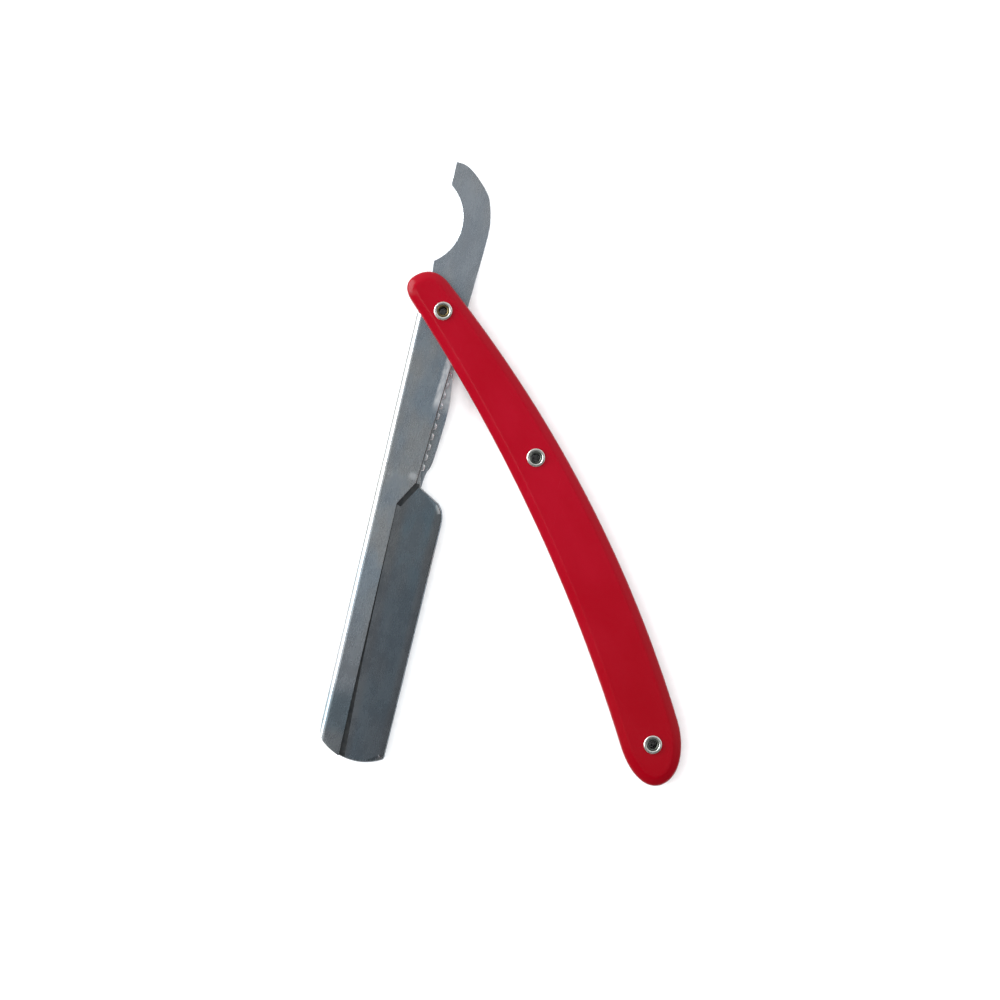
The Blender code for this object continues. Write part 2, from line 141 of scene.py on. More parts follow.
PAD_NECK = ((44.2, 4.13), (49.95, 0.65))
PAD_START = 49.6
PAD_GAP = 0.05
PAD_GAP_OPENING = 1.25
RECESS_START = 43.4
RECESS_WIDTH = 0.26
PAD_STEPS = 24
PEG_RADIUS = 0.75
PEG_HEAD_RADIUS = 1.15
PEG_HEAD_GAP = 0.05
PEG_HOLE_RADIUS = 0.85

# Every other edge, rounded
EDGE = 0.1
EDGE_STEPS = 4

HEAD_CORNER = ((52.4, 11.7), (50.3, 11.55), (48.5, 10.95), (47.1, 9.85))
SHOULDER_FOOT = (44.2, 4.65)
TOE_CORNER = (112.0, 11.07)
FOLD_CORNER = ((106.5, -6.3), (109.4, -6.05))
BACK_WALL_EDGE = (
    (42.3, 4.75), (40.2, 5.1), (38.6, 5.75), (36.0, 6.15), (29.0, 6.65), (22.5, 6.85), (16.0, 6.1),
    (9.0, 5.4),
)
FRONT_WALL_EDGE = ((9.0, 5.15), (13.0, 4.93), (43.3, 3.05), (49.3, -0.35))
LIP_EDGE = ((49.3, -0.35), (120.0, 0.15))
WALL_RUNS = (FRONT_WALL_EDGE[1:3], FRONT_WALL_EDGE[2:4])
HOOK_BACK = (
    (-37.35, -5.3), (-36.95, -2.5), (-34.9, 0.6), (-31.2, 4.15), (-28.2, 5.5), (-24.5, 6.4), (-20.6, 6.6),
    (-16.0, 6.45),
)
HOOK_ROOT = (-3.0, 5.8)


# ---------------------------------------------------------------- places read from the frame


def centre(node):
    low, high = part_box(node)
    return (low + high) / 2


def heights(node):
    low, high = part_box(node)
    return low.z / MM, high.z / MM


def frame_along(start, end):
    """A frame on the pivot's axis at ground height, whose x axis points from one node to the other."""
    pivot = centre("pivot_rivet")
    along = centre(end) - centre(start)
    turn = Matrix.Rotation(math.atan2(along.y, along.x), 4, "Z")
    return Matrix.Translation((pivot.x, pivot.y, 0)) @ turn


handle_frame = frame_along("pivot_rivet", "end_rivet")
arm_frame = frame_along("blade_peg_1", "blade_peg_3")


def place_in(local, node):
    """The node's centre in a local frame, in millimetres."""
    point = local.inverted() @ centre(node)
    return point.x / MM, point.y / MM


# ---------------------------------------------------------------- curves


def arc(middle, radius, start, end, steps):
    """Points on a circle from one angle to another, both ends included."""
    turn = (end - start) / steps
    return [
        (middle[0] + radius * math.cos(start + i * turn), middle[1] + radius * math.sin(start + i * turn))
        for i in range(steps + 1)
    ]


def circle(middle, radius):
    return arc(middle, radius, 0, math.tau, ROUND_STEPS)[:-1]


def smooth(points, steps):
    """A Catmull-Rom curve through the points, which leaves the last point out."""
    ends = [points[0], *points, points[-1]]
    path = []
    for a, b, c, d in zip(ends, ends[1:], ends[2:], ends[3:]):
        for i in range(steps):
            t = i / steps
            path.append(tuple(
                0.5 * (2 * q + (r - p) * t + (2 * p - 5 * q + 4 * r - s) * t * t
                       + (3 * q - p - 3 * r + s) * t ** 3)
                for p, q, r, s in zip(a, b, c, d)
            ))
    return path


def ease(t):
    """0 below 0, 1 above 1, and smooth between them."""
    t = min(max(t, 0.0), 1.0)
    return t * t * (3 - 2 * t)


def on_line(line, x):
    (x0, y0), (x1, y1) = line
    return y0 + (y1 - y0) * (x - x0) / (x1 - x0)


# ---------------------------------------------------------------- outlines


def scale_middle(x):
    return SCALE_BOW_Y - (x - SCALE_BOW_X) ** 2 / (2 * SCALE_BOW_RADIUS)


def cap_share(x, end, length, squareness):
    """How much of the full width a rounded end leaves at x."""
    depth = min(abs(x - end) / length, 1.0)
    return (1 - (1 - depth) ** squareness) ** (1 / squareness)


def scale_half(x):
    """Half the scale's width at x, rounded ends included."""
    share = cap_share(x, SCALE_TOP_END, SCALE_TOP_CAP, SCALE_TOP_SQUARENESS)
    share *= cap_share(x, SCALE_LOWER_END, SCALE_LOWER_CAP, SCALE_LOWER_SQUARENESS)
    return (SCALE_PIVOT_WIDTH + SCALE_WIDENING * x - SCALE_NARROWING * x * x) / 2 * share


def cap_stations(end, length, steps):
    return [end + length * (1 - math.cos(math.pi / 2 * i / steps)) for i in range(steps)]


def scale_stations(start=SCALE_TOP_END):
    """Stations from the top end to the lower end, close together round the two ends."""
    first, last = SCALE_TOP_END + SCALE_TOP_CAP, SCALE_LOWER_END - SCALE_LOWER_CAP
    body = [first + (last - first) * i / SCALE_BODY_STEPS for i in range(SCALE_BODY_STEPS + 1)]
    top = cap_stations(SCALE_TOP_END, SCALE_TOP_CAP, TOP_CAP_STEPS)
    lower = cap_stations(SCALE_LOWER_END, -SCALE_LOWER_CAP, LOWER_CAP_STEPS)[::-1]
    return [x for x in top + body + lower if x >= start]


def scale_outline(start=SCALE_TOP_END, inset=0.0):
    convex, concave = [], []
    for x in scale_stations(start):
        half = max(scale_half(x) - inset, 0.0)
        convex.append((x, scale_middle(x) + half))
        if half > 0:
            concave.append((x, scale_middle(x) - half))
    return convex + concave[::-1]


def toe_arc(inset):
    return arc(TOE_CENTRE, TOE_RADIUS - inset, TOE_START, TOE_END, TOE_STEPS)


def head_edge(inset):
    """From the toe up the cutting edge, round the corner and down the shoulder to the shank."""
    corner = smooth(list(HEAD_CORNER), 6) + [HEAD_CORNER[-1], SHOULDER_FOOT]
    toe = (TOE_CORNER[0] - inset, TOE_CORNER[1] - inset)
    return [toe] + [(x + inset / 2, y - inset) for x, y in corner]


def jimped_edge():
    """Square teeth along the shank, from the pivot end to the head."""
    (x0, y0), (x1, y1) = JIMP_START, JIMP_END
    crest_end = JIMP_FLANK + JIMP_CREST
    tooth = ((0.0, 0.0), (JIMP_FLANK, JIMP_HEIGHT), (crest_end, JIMP_HEIGHT), (crest_end + JIMP_FLANK, 0.0))
    path = []
    for i in range(JIMP_COUNT):
        for share, height in tooth:
            along = (i + share) / JIMP_COUNT
            path.append((x0 + (x1 - x0) * along, y0 + (y1 - y0) * along + height))
    return path + [JIMP_END]


def blade_leaf_outline():
    """Finger hook, jimped shank and head plate."""
    reach = math.acos((HOOK_TIP_Y - HOOK_CENTRE[1]) / HOOK_RADIUS)
    hook = arc(HOOK_CENTRE, HOOK_RADIUS, math.pi / 2 - reach, math.pi / 2 + reach, HOOK_STEPS)
    back = smooth(list(HOOK_BACK), 10) + [HOOK_ROOT]
    toe = [point for point in toe_arc(LEAF_INSET)[::-1] if point[1] > LEAF_SPINE_Y]
    spine = [
        (toe[-1][0] - LEAF_INSET, LEAF_SPINE_Y), (TANG_START + TANG_STEP, LEAF_SPINE_Y),
        (TANG_START, TANG_Y), (TANG_END, TANG_Y),
    ]
    return back + jimped_edge() + head_edge(LEAF_INSET)[::-1] + toe + spine + hook


def pad_outline():
    """The head plate's raised face. Its gap to the lip opens towards the toe."""
    def lip_side(x):
        opening = (x - PAD_START) / (TOE_CENTRE[0] + TOE_RADIUS - PAD_START)
        return on_line(LIP_EDGE, x) + PAD_GAP + PAD_GAP_OPENING * opening ** 3

    toe = [point for point in toe_arc(PAD_INSET) if point[1] > lip_side(point[0])]
    run = [PAD_START + (toe[0][0] - PAD_START) * i / PAD_STEPS for i in range(PAD_STEPS + 1)]
    return [*PAD_NECK, *[(x, lip_side(x)) for x in run], *toe[1:], *head_edge(PAD_INSET)]


# ---------------------------------------------------------------- mesh building


def wound(outline, sense):
    """The outline as vectors, counter-clockwise for a sense of 1 and clockwise for -1."""
    points = [Vector(point) for point in outline]
    area = sum(a.cross(b) for a, b in zip(points, points[1:] + points[:1]))
    return points if area * sense > 0 else points[::-1]


def inset_by(points, distances):
    """Points moved into the material, mitred at the corners."""
    moved = []
    befores, afters = points[-1:] + points[:-1], points[1:] + points[:1]
    for before, here, after, distance in zip(befores, points, afters, distances):
        back, ahead = (here - before).normalized(), (after - here).normalized()
        normal = Vector((-back.y - ahead.y, back.x + ahead.x)).normalized()
        mitre = max(normal.dot(Vector((-back.y, back.x))), 0.5)
        moved.append(here + normal * (distance / mitre))
    return moved


def ring_of(shape, points, heights):
    return [shape.verts.new((point[0], point[1], height)) for point, height in zip(points, heights)]


def skin(shape, rings):
    """Quads between neighbouring closed rings."""
    for low, high in zip(rings, rings[1:]):
        for i, here in enumerate(low):
            after = (i + 1) % len(low)
            corners = [here, low[after], high[after], high[i]]
            shape.faces.new(list(dict.fromkeys(corners)))


def cap(shape, rings):
    """Fills a flat face between an outline's ring and its holes' rings."""
    edges = [shape.edges.get((a, b)) for ring in rings for a, b in zip(ring, ring[1:] + ring[:1])]
    bmesh.ops.triangle_fill(shape, use_beauty=True, edges=edges)


def plate(outline, holes, low, high, rounding=EDGE, front_rounding=None):
    """A flat piece with rounded edges. front_rounding gives the front edge's width and depth at a point."""
    shape = bmesh.new()
    backs, fronts = [], []
    turns = [math.pi / 2 * i / EDGE_STEPS for i in range(EDGE_STEPS + 1)]
    for loop in [wound(outline, 1)] + [wound(hole, -1) for hole in holes]:
        sizes = [front_rounding(point) if front_rounding else (rounding, rounding) for point in loop]
        rings = []
        for a in turns:
            points = inset_by(loop, [rounding * (1 - math.sin(a))] * len(loop))
            rings.append(ring_of(shape, points, [low + rounding * (1 - math.cos(a))] * len(loop)))
        for a in turns:
            points = inset_by(loop, [width * (1 - math.cos(a)) for width, _ in sizes])
            rings.append(ring_of(shape, points, [high - depth * (1 - math.sin(a)) for _, depth in sizes]))
        skin(shape, rings)
        backs.append(rings[0])
        fronts.append(rings[-1])
    cap(shape, backs)
    cap(shape, fronts)
    return shape


def turned(profile, place=(0.0, 0.0)):
    """A round piece from a closed loop of (radius, height) points. A radius of 0 lies on the axis."""
    shape = bmesh.new()
    rings = []
    for radius, height in profile:
        if radius == 0:
            rings.append([shape.verts.new((*place, height))] * ROUND_STEPS)
        else:
            rings.append(ring_of(shape, circle(place, radius), [height] * ROUND_STEPS))
    for low, high in zip(rings, rings[1:] + rings[:1]):
        if low[0] == low[1] and high[0] == high[1]:
            continue
        for i in range(ROUND_STEPS):
            after = (i + 1) % ROUND_STEPS
            shape.faces.new(list(dict.fromkeys([low[i], low[after], high[after], high[i]])))
    return shape


def mesh_from(shape, name):
    bmesh.ops.recalc_face_normals(shape, faces=shape.faces)
    bmesh.ops.scale(shape, vec=(MM, MM, MM), verts=shape.verts)
    for face in shape.faces:
        face.smooth = True
    mesh = bpy.data.meshes.new(name)
    shape.to_mesh(mesh)
    shape.free()
    return mesh


def combined(mesh, other, operation):
    """One mesh after an exact Boolean with another."""
    pair = [bpy.data.objects.new("operand", part) for part in (mesh, other)]
    for obj in pair:
        bpy.context.scene.collection.objects.link(obj)
    boolean = pair[0].modifiers.new("combine", "BOOLEAN")
    boolean.operation = operation
    boolean.object = pair[1]
    boolean.solver = "EXACT"
    depsgraph = bpy.context.evaluated_depsgraph_get()
    result = bpy.data.meshes.new_from_object(pair[0].evaluated_get(depsgraph))
    for obj in pair:
        bpy.data.objects.remove(obj, do_unlink=True)
    return result


def add_piece(node, mesh, local, body, materials):
    """The mesh as a piece that stands for the CAD node of that name and rides on its body."""
    mesh.transform(local)
    for material in materials:
        mesh.materials.append(material)
    obj = bpy.data.objects.new(node + "_fine", mesh)
    bpy.context.scene.collection.objects.link(obj)
    even = obj.modifiers.new("even_normals", "WEIGHTED_NORMAL")
    even.keep_sharp = True
    even.weight = 100
    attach(obj, body)
    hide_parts(node)


# ---------------------------------------------------------------- handle


def distances_to(outline, points):
    """Each point's distance to the nearest stretch of the closed outline."""
    starts = np.array(outline)
    runs = np.roll(starts, -1, axis=0) - starts
    nearest = []
    for point in np.array(points):
        shares = np.clip(((point - starts) * runs).sum(1) / (runs ** 2).sum(1), 0, 1)
        nearest.append(float(np.linalg.norm(starts + runs * shares[:, None] - point, axis=1).min()))
    return nearest


def scale_drop(depth):
    """How far the outer face lies below its highest point, at a depth in from the outline."""
    drop = CROWN_DROP * (1 - min(depth / CROWN_WIDTH, 1)) ** 2
    drop += CHAMFER_DROP * max(1 - depth / CHAMFER_WIDTH, 0) ** CHAMFER_CURVE
    bend = max(1 - depth / EDGE_ROUNDING, 0)
    return drop + EDGE_ROUNDING * (1 - math.sqrt(1 - bend * bend))


def scale_mesh(name, inner, outer):
    """A bowed scale with a crowned, chamfered outer face, drilled for its three rivets."""
    shape = bmesh.new()
    outline = scale_outline()
    verts = {}

    def vert(x, y):
        key = (round(x, 3), round(y, 3))
        if key not in verts:
            verts[key] = shape.verts.new((x, y, 0))
        return verts[key]

    stations = scale_stations()
    rows = []
    for x in stations:
        half = scale_half(x)
        side = [max(half - inset, 0) for inset in FACE_ROWS] + [0]
        across = side + [-y for y in side[-2::-1]]
        rows.append([vert(x, scale_middle(x) + y) for y in across])
    for row, after in zip(rows, rows[1:]):
        for a, b, c, d in zip(row, row[1:], after[1:], after):
            corners = list(dict.fromkeys([a, b, c, d]))
            if len(corners) > 2 and shape.faces.get(corners) is None:
                shape.faces.new(corners)
    grid = list(verts.values())
    depths = distances_to(outline, [vert.co.xy for vert in grid])
    side = 1 if outer > inner else -1
    for point, depth in zip(grid, depths):
        point.co.z = outer - side * scale_drop(depth)
    rim = [vert(x, y) for x, y in outline]
    if sum(a.co.xy.cross(b.co.xy) for a, b in zip(rim, rim[1:] + rim[:1])) < 0:
        rim.reverse()
    flat = [point.co.xy for point in rim]
    walls = [rim]
    for inset, height in ((0, EDGE), (EDGE / 3, EDGE / 3), (EDGE, 0)):
        walls.append(ring_of(shape, inset_by(flat, [inset] * len(flat)), [inner + side * height] * len(flat)))
    skin(shape, walls)
    cap(shape, [walls[-1]])
    mesh = mesh_from(shape, name)
    low, high = min(inner, outer) - 1, max(inner, outer) + 1
    for node in ("pivot_rivet", "middle_rivet", "end_rivet"):
        drill = turned(
            [(0, high), (TUBE_RADIUS + RIVET_GAP, high), (TUBE_RADIUS + RIVET_GAP, low), (0, low)],
            place_in(handle_frame, node),
        )
        mesh = combined(mesh, mesh_from(drill, "drill"), "DIFFERENCE")
    return mesh


def collar_profile(seat, face):
    """A cup washer from its seat on the scale out to its face, with a rolled rim and a dished middle."""
    side = 1 if face > seat else -1
    bore = TUBE_RADIUS + RIVET_GAP
    rim = [(1.93 + 0.37 * x, 0.29 + 0.26 * y) for x, y in arc((0.0, 0.0), 1.0, 0, math.pi, 14)]
    dish = [(1.52, 0.22), (bore, 0.18)]
    foot = [(bore, 0.0), (2.2, 0.0), (2.27, 0.06)]
    return [(radius, seat + side * height) for radius, height in rim + dish + foot]


def rivet_profile(low, high):
    """A hollow rivet whose ends are rolled outwards into the collars."""
    half = [
        (TUBE_RADIUS, 0.55), (1.3, 0.42), (1.42, 0.34), (1.5, 0.26), (1.52, 0.18), (1.48, 0.11),
        (1.4, 0.07), (1.3, 0.06), (1.2, 0.09), (1.1, 0.16), (1.03, 0.27), (TUBE_BORE_RADIUS, 0.42),
    ]
    return [(r, low + z) for r, z in half] + [(r, high - z) for r, z in half[::-1]]


def tube_profile(inner, outer, low, high, chamfer=0.08):
    return [
        (outer, high - chamfer), (outer - chamfer, high), (inner + chamfer, high), (inner, high - chamfer),
        (inner, low + chamfer), (inner + chamfer, low), (outer - chamfer, low), (outer, low + chamfer),
    ]


def radius_of(node):
    low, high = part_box(node)
    return (high.x - low.x) / 2 / MM


def make_handle(materials):
    plastic, nickel, brass, nylon = (materials[key] for key in ("plastic", "nickel", "brass", "nylon"))
    tube_finish = {"pivot": (brass, "brass")}
    # The middle and end rivets' nickel is partly aged and partly painted shade, for their rolled ends low in
    # the collars' dishes.
    shaded_aged_finish = (materials["aged_nickel_painted_shade"], "nickel")

    def add(node, mesh, material, slot):
        add_piece(node, mesh, handle_frame, "handle", [material])

    for node, order in (("front_scale", 1), ("back_scale", -1)):
        add(node, scale_mesh(node, *heights(node)[::order]), plastic, "scale_plastic")
    bore = TUBE_RADIUS + RIVET_GAP
    wedge = plate(
        scale_outline(WEDGE_START, WEDGE_INSET), [circle(place_in(handle_frame, "end_rivet"), bore)],
        *heights("end_wedge"),
    )
    add("end_wedge", mesh_from(wedge, "end_wedge"), plastic, "scale_plastic")
    for label in ("pivot", "middle", "end"):
        place = place_in(handle_frame, label + "_rivet")
        tube = mesh_from(turned(rivet_profile(*heights(label + "_rivet")), place), label + "_rivet")
        add(label + "_rivet", tube, *tube_finish.get(label, shaded_aged_finish))
        for node, order in ((label + "_front_collar", 1), (label + "_back_collar", -1)):
            profile = collar_profile(*heights(node)[::order])
            add(node, mesh_from(turned(profile, place), "collar"), nickel, "nickel")
    for node, inner, material, slot in (
        ("middle_spacer", bore, nickel, "nickel"),
        ("pivot_bush", bore, brass, "brass"),
        ("front_pivot_washer", WASHER_BORE_RADIUS, nylon, "washer_nylon"),
        ("back_pivot_washer", WASHER_BORE_RADIUS, nylon, "washer_nylon"),
    ):
        profile = tube_profile(inner, radius_of(node), *heights(node))
        add(node, mesh_from(turned(profile, place_in(handle_frame, node)), node), material, slot)


# ---------------------------------------------------------------- blade holder


def jimp_rounding(point):
    """The teeth's crests are filed rounder than the rest of the leaf's edge."""
    on_row = JIMP_START[0] < point.x < JIMP_END[0]
    crest = point.y - on_line((JIMP_START, JIMP_END), point.x) > JIMP_HEIGHT * 0.9
    return JIMP_ROUNDING if on_row and crest else (EDGE, EDGE)


def on_crest(place):
    """Whether a point lies in the rounded front edge of one of the teeth."""
    above = place.y - on_line((JIMP_START, JIMP_END), place.x)
    return JIMP_START[0] < place.x < JIMP_END[0] and above > JIMP_HEIGHT - JIMP_ROUNDING[0]


def blade_leaf_mesh():
    """The flat leaf, with a raised pad on its head that slopes down to the cutting edge."""
    low, pad_top = heights("blade_leaf")
    leaf_top = low + LEAF_THICKNESS
    hole = circle((0.0, 0.0), PIVOT_HOLE_RADIUS)
    leaf = plate(blade_leaf_outline(), [hole], low, leaf_top, front_rounding=jimp_rounding)
    (x0, y0), (x1, y1) = FRONT_WALL_EDGE[1:3]
    along = Vector((x1 - x0, y1 - y0, 0)).normalized()
    across = Vector((-along.y, along.x, 0))
    line = Vector((x0, y0, 0)) + across * RECESS_WIDTH
    for place, normal in ((line, across), ((RECESS_START, 0, 0), (1, 0, 0))):
        parts = leaf.verts[:] + leaf.edges[:] + leaf.faces[:]
        bmesh.ops.bisect_plane(leaf, geom=parts, dist=0.0005, plane_co=place, plane_no=normal)
    shape = bmesh.new()
    base = wound(pad_outline(), 1)
    shares = [ease((point.y - PAD_BAND_Y) / PAD_BAND_BLEND) for point in base]
    top = inset_by(base, [PAD_EDGE + (PAD_BAND - PAD_EDGE) * share for share in shares])
    shoulder = inset_by(base, [PAD_EDGE * 0.3] * len(base))

    def face_height(point):
        return pad_top - PAD_SLOPE * max(point.y + 0.5, 0)

    rings = [ring_of(shape, base, [leaf_top - PAD_ROOT] * len(base))]
    for points, bevel, band in (
        (base, PAD_EDGE, PAD_BAND_DROP), (shoulder, PAD_EDGE * 0.3, PAD_BAND_DROP * 0.9), (top, 0, 0),
    ):
        tops = [face_height(point) - bevel - band * share for point, share in zip(points, shares)]
        rings.append(ring_of(shape, points, tops))
    skin(shape, rings)
    cap(shape, [rings[0]])
    cap(shape, [rings[-1]])
    mesh = combined(mesh_from(leaf, "blade_leaf"), mesh_from(shape, "pad"), "UNION")
    # Painted shade goes on the pad's side towards the lip, on the leaf's strip beside the front wall, and on
    # its face past RECESS_START.
    for face in mesh.polygons:
        place = face.center / MM
        if place.z > leaf_top + 0.03:
            face.material_index = 2 if face.normal.y < -0.3 else 1
        # The teeth's rounded crests take the steel with the painted highlight.
        elif on_crest(place) and 0.05 < face.normal.z < 0.995:
            face.material_index = 3
        elif face.normal.z > 0.9 and abs(place.z - leaf_top) < 0.03:
            beside_wall = 5 < place.x < RECESS_START and (place - line).dot(across) < 0
            face.material_index = 2 if beside_wall or place.x > RECESS_START else 0
    return mesh


def spine_leaf_mesh():
    """The folded leaf, made as its flat blank with rounded edges and then bent round the spine."""
    low, high = heights("spine_leaf")
    outer = (high - low) / 2
    middle_radius = outer - SHEET / 2
    fold_y = SPINE_Y + outer
    half_arc = middle_radius * math.pi / 2

    def flat(point, side):
        x, y = point
        if y >= fold_y:
            return x, side * (half_arc + y - fold_y)
        return x, side * middle_radius * math.acos((fold_y - y) / outer)

    tab_end = math.pi - math.asin(fold_y / PIVOT_TAB_RADIUS)
    tab = arc((0.0, 0.0), PIVOT_TAB_RADIUS, tab_end, math.pi / 2, 30)
    lip_y = on_line(LIP_EDGE, TOE_CENTRE[0] + TOE_RADIUS)
    toe = toe_arc(0)
    fold_corner = smooth(list(FOLD_CORNER) + [toe[0]], 8)
    front = [(FOLD_START, fold_y)] + tab + list(FRONT_WALL_EDGE)
    front += [point for point in toe[::-1] if point[1] < lip_y] + fold_corner[::-1]
    back = fold_corner[1:] + toe + head_edge(0) + smooth(list(BACK_WALL_EDGE) + [(0.0, PIVOT_TAB_RADIUS)], 8)
    back += tab[::-1] + [(FOLD_START, fold_y)]
    outline = [flat(point, 1) for point in front] + [flat(point, -1) for point in back]
    holes = [circle(flat((0.0, 0.0), side), PIVOT_HOLE_RADIUS) for side in (1, -1)]
    for node in ("blade_peg_1", "blade_peg_2", "blade_peg_3"):
        holes.append(circle(flat(place_in(arm_frame, node), -1), PEG_HOLE_RADIUS))
    shape = plate(outline, holes, -SHEET / 2, SHEET / 2)
    for i in range(FOLD_CUTS + 1):
        cut = (0, half_arc * (2 * i / FOLD_CUTS - 1), 0)
        parts = shape.verts[:] + shape.edges[:] + shape.faces[:]
        bmesh.ops.bisect_plane(shape, geom=parts, dist=0.0005, plane_co=cut, plane_no=(0, 1, 0))
    centre_z = (low + high) / 2
    for vert in shape.verts:
        x, along, out = vert.co
        turn = min(max(along / middle_radius, -math.pi / 2), math.pi / 2)
        radius = middle_radius + out
        straight = max(abs(along) - half_arc, 0)
        vert.co = (x, fold_y - radius * math.cos(turn) + straight, centre_z + radius * math.sin(turn))
    return mesh_from(shape, "spine_leaf")


def peg_mesh(node):
    """A headed peg whose foot is flush with the back wall."""
    low, high = heights(node)
    shank, head, seat = PEG_RADIUS, PEG_HEAD_RADIUS, low + SHEET + PEG_HEAD_GAP
    profile = [
        (0, high), (head - 0.15, high), (head, high - 0.12), (head, seat + 0.05), (head - 0.05, seat),
        (shank, seat), (shank, low + 0.08), (shank - 0.08, low), (0, low),
    ]
    return mesh_from(turned(profile, place_in(arm_frame, node)), node)


def make_blade_holder(materials):
    blade_finishes = [materials[key] for key in ("steel", "pad_steel", "recess_steel", "crest_highlight_steel")]
    add_piece("blade_leaf", blade_leaf_mesh(), arm_frame, "blade_leaf", blade_finishes)
    add_piece("spine_leaf", spine_leaf_mesh(), arm_frame, "spine_leaf", [materials["steel"]])
    for node in ("blade_peg_1", "blade_peg_2", "blade_peg_3"):
        add_piece(node, peg_mesh(node), arm_frame, "spine_leaf", [materials["nickel"]])


# ---------------------------------------------------------------- materials


class Nodes:
    """A material's node tree in a local frame, with short ways to add and join nodes."""

    def __init__(self, name, local):
        self.material = bpy.data.materials.new(name)
        self.material.use_nodes = True
        self.tree = self.material.node_tree
        self.shader = self.tree.nodes["Principled BSDF"]
        self.local = local

    def add(self, kind, settings=(), **inputs):
        node = self.tree.nodes.new(kind)
        for name, value in dict(settings).items():
            setattr(node, name, value)
        for name, value in inputs.items():
            self.join(value, node.inputs[name.replace("_", " ")])
        return node

    def join(self, value, socket):
        if isinstance(value, bpy.types.NodeSocket):
            self.tree.links.new(value, socket)
        else:
            socket.default_value = value

    def coordinates(self, scale=(1, 1, 1), turn=0.0):
        """The local frame's coordinates, turned and then stretched by a scale along each axis."""
        where = self.add("ShaderNodeTexCoord").outputs["Object"]
        node = self.add("ShaderNodeMapping", {"vector_type": "TEXTURE"}, Vector=where)
        node.inputs["Location"].default_value = self.local.translation
        node.inputs["Rotation"].default_value = (0, 0, self.local.to_euler().z + turn)
        node.inputs["Scale"].default_value = [1 / share for share in scale]
        return node.outputs["Vector"]

    def place(self):
        """The x, y and z of the local frame, in millimetres."""
        split = self.add("ShaderNodeSeparateXYZ", Vector=self.coordinates((1 / MM, 1 / MM, 1 / MM)))
        return [split.outputs[axis] for axis in "XYZ"]

    def line(self, run, x):
        """The height at x of the straight line through two points."""
        (x0, y0), (x1, y1) = run
        slope = (y1 - y0) / (x1 - x0)
        return self.maths("ADD", self.maths("MULTIPLY", x, slope), y0 - slope * x0)

    def joined(self, x, y):
        return self.add("ShaderNodeCombineXYZ", X=x, Y=y).outputs["Vector"]

    def noise(self, scale, detail=3.0, roughness=0.5, turn=0.0):
        """Noise with about scale features in a metre along each axis."""
        texture = self.add("ShaderNodeTexNoise", Vector=self.coordinates(scale, turn), Scale=1.0)
        texture.inputs["Detail"].default_value = detail
        texture.inputs["Roughness"].default_value = roughness
        return texture.outputs["Fac"]

    def ranged(self, value, low, high, to_low=0.0, to_high=1.0):
        """The value mapped smoothly from one range to another, held at the ends."""
        node = self.add("ShaderNodeMapRange", {"interpolation_type": "SMOOTHSTEP"}, Value=value)
        for name, number in zip(("From Min", "From Max", "To Min", "To Max"), (low, high, to_low, to_high)):
            node.inputs[name].default_value = number
        return node.outputs["Result"]

    def maths(self, operation, a, b):
        node = self.add("ShaderNodeMath", {"operation": operation})
        self.join(a, node.inputs[0])
        self.join(b, node.inputs[1])
        return node.outputs["Value"]

    def mix(self, share, a, b):
        node = self.add("ShaderNodeMix", {"data_type": "RGBA"})
        self.join(share, node.inputs["Factor"])
        for colour, name in ((a, "A"), (b, "B")):
            socket = [s for s in node.inputs if s.name == name and s.type == "RGBA"][0]
            self.join(colour if isinstance(colour, bpy.types.NodeSocket) else (*colour, 1.0), socket)
        return [s for s in node.outputs if s.type == "RGBA"][0]

    def bump(self, height, distance, strength):
        node = self.add("ShaderNodeBump", Height=height)
        node.inputs["Distance"].default_value = distance
        node.inputs["Strength"].default_value = strength
        return node.outputs["Normal"]

    def set(self, **inputs):
        for name, value in inputs.items():
            self.join(value, self.shader.inputs[name.replace("_", " ")])
        return self.material


def scratches(n, turn, low=0.71):
    """Sparse hairlines that run at an angle to the local frame's x axis."""
    return n.ranged(n.noise((130, 9000, 9000), 1.0, 0.5, turn), low, low + 0.05)


COOL_STEEL = (0.45, 0.525, 0.585)
WARM_STEEL = (0.58, 0.595, 0.59)

# The front wall's painted reflection, rubbed spot and painted shade, in the blade holder's frame. Painted
# shade bands towards the toe: from x, to x, how much, colour.
WALL_EDGE_SLOPE = 0.062
SPOT = (41.8, 2.0, 0.0)
TOE_SHADE_BANDS = (
    (66, 92, 0.6, (0.38, 0.385, 0.395)),
    (95, 101, 0.75, (0.18, 0.24, 0.275)),
    (106.5, 110, 0.7, (0.32, 0.325, 0.33)),
)


def worn_steel(n, cool, warm):
    """Sheet steel's tone, which wanders between two colours, and its roughness and surface."""
    grain = n.noise((500, 9000, 9000), 4.0, 0.65)
    speckle = n.noise((1100, 1500, 1500), 3.0, 0.6)
    mottle = n.noise((190, 290, 290), 3.0, 0.55)
    patches = n.noise((55, 110, 110), 2.0)
    tone = n.mix(n.ranged(patches, 0.38, 0.6), cool, warm)
    tone = n.mix(n.ranged(mottle, 0.42, 0.7, 0.0, 0.55), tone, [share * 0.84 for share in cool])
    tone = n.mix(n.ranged(mottle, 0.45, 0.28, 0.0, 0.35), tone, [share * 1.12 for share in warm])
    tone = n.mix(n.ranged(speckle, 0.5, 0.8, 0.0, 0.09), tone, [share * 1.25 for share in warm])
    tone = n.mix(n.ranged(grain, 0.45, 0.75, 0.0, 0.12), tone, [share * 0.8 for share in warm])
    for turn in (0.05, 0.6, -0.9):
        tone = n.mix(n.maths("MULTIPLY", scratches(n, turn), 0.3), tone, (0.85, 0.86, 0.87))
    roughness = n.maths("ADD", n.ranged(grain, 0.3, 0.7, 0.23, 0.29), n.ranged(mottle, 0.3, 0.7, -0.03, 0.04))
    return tone, roughness, n.bump(grain, 0.00001, 0.12)


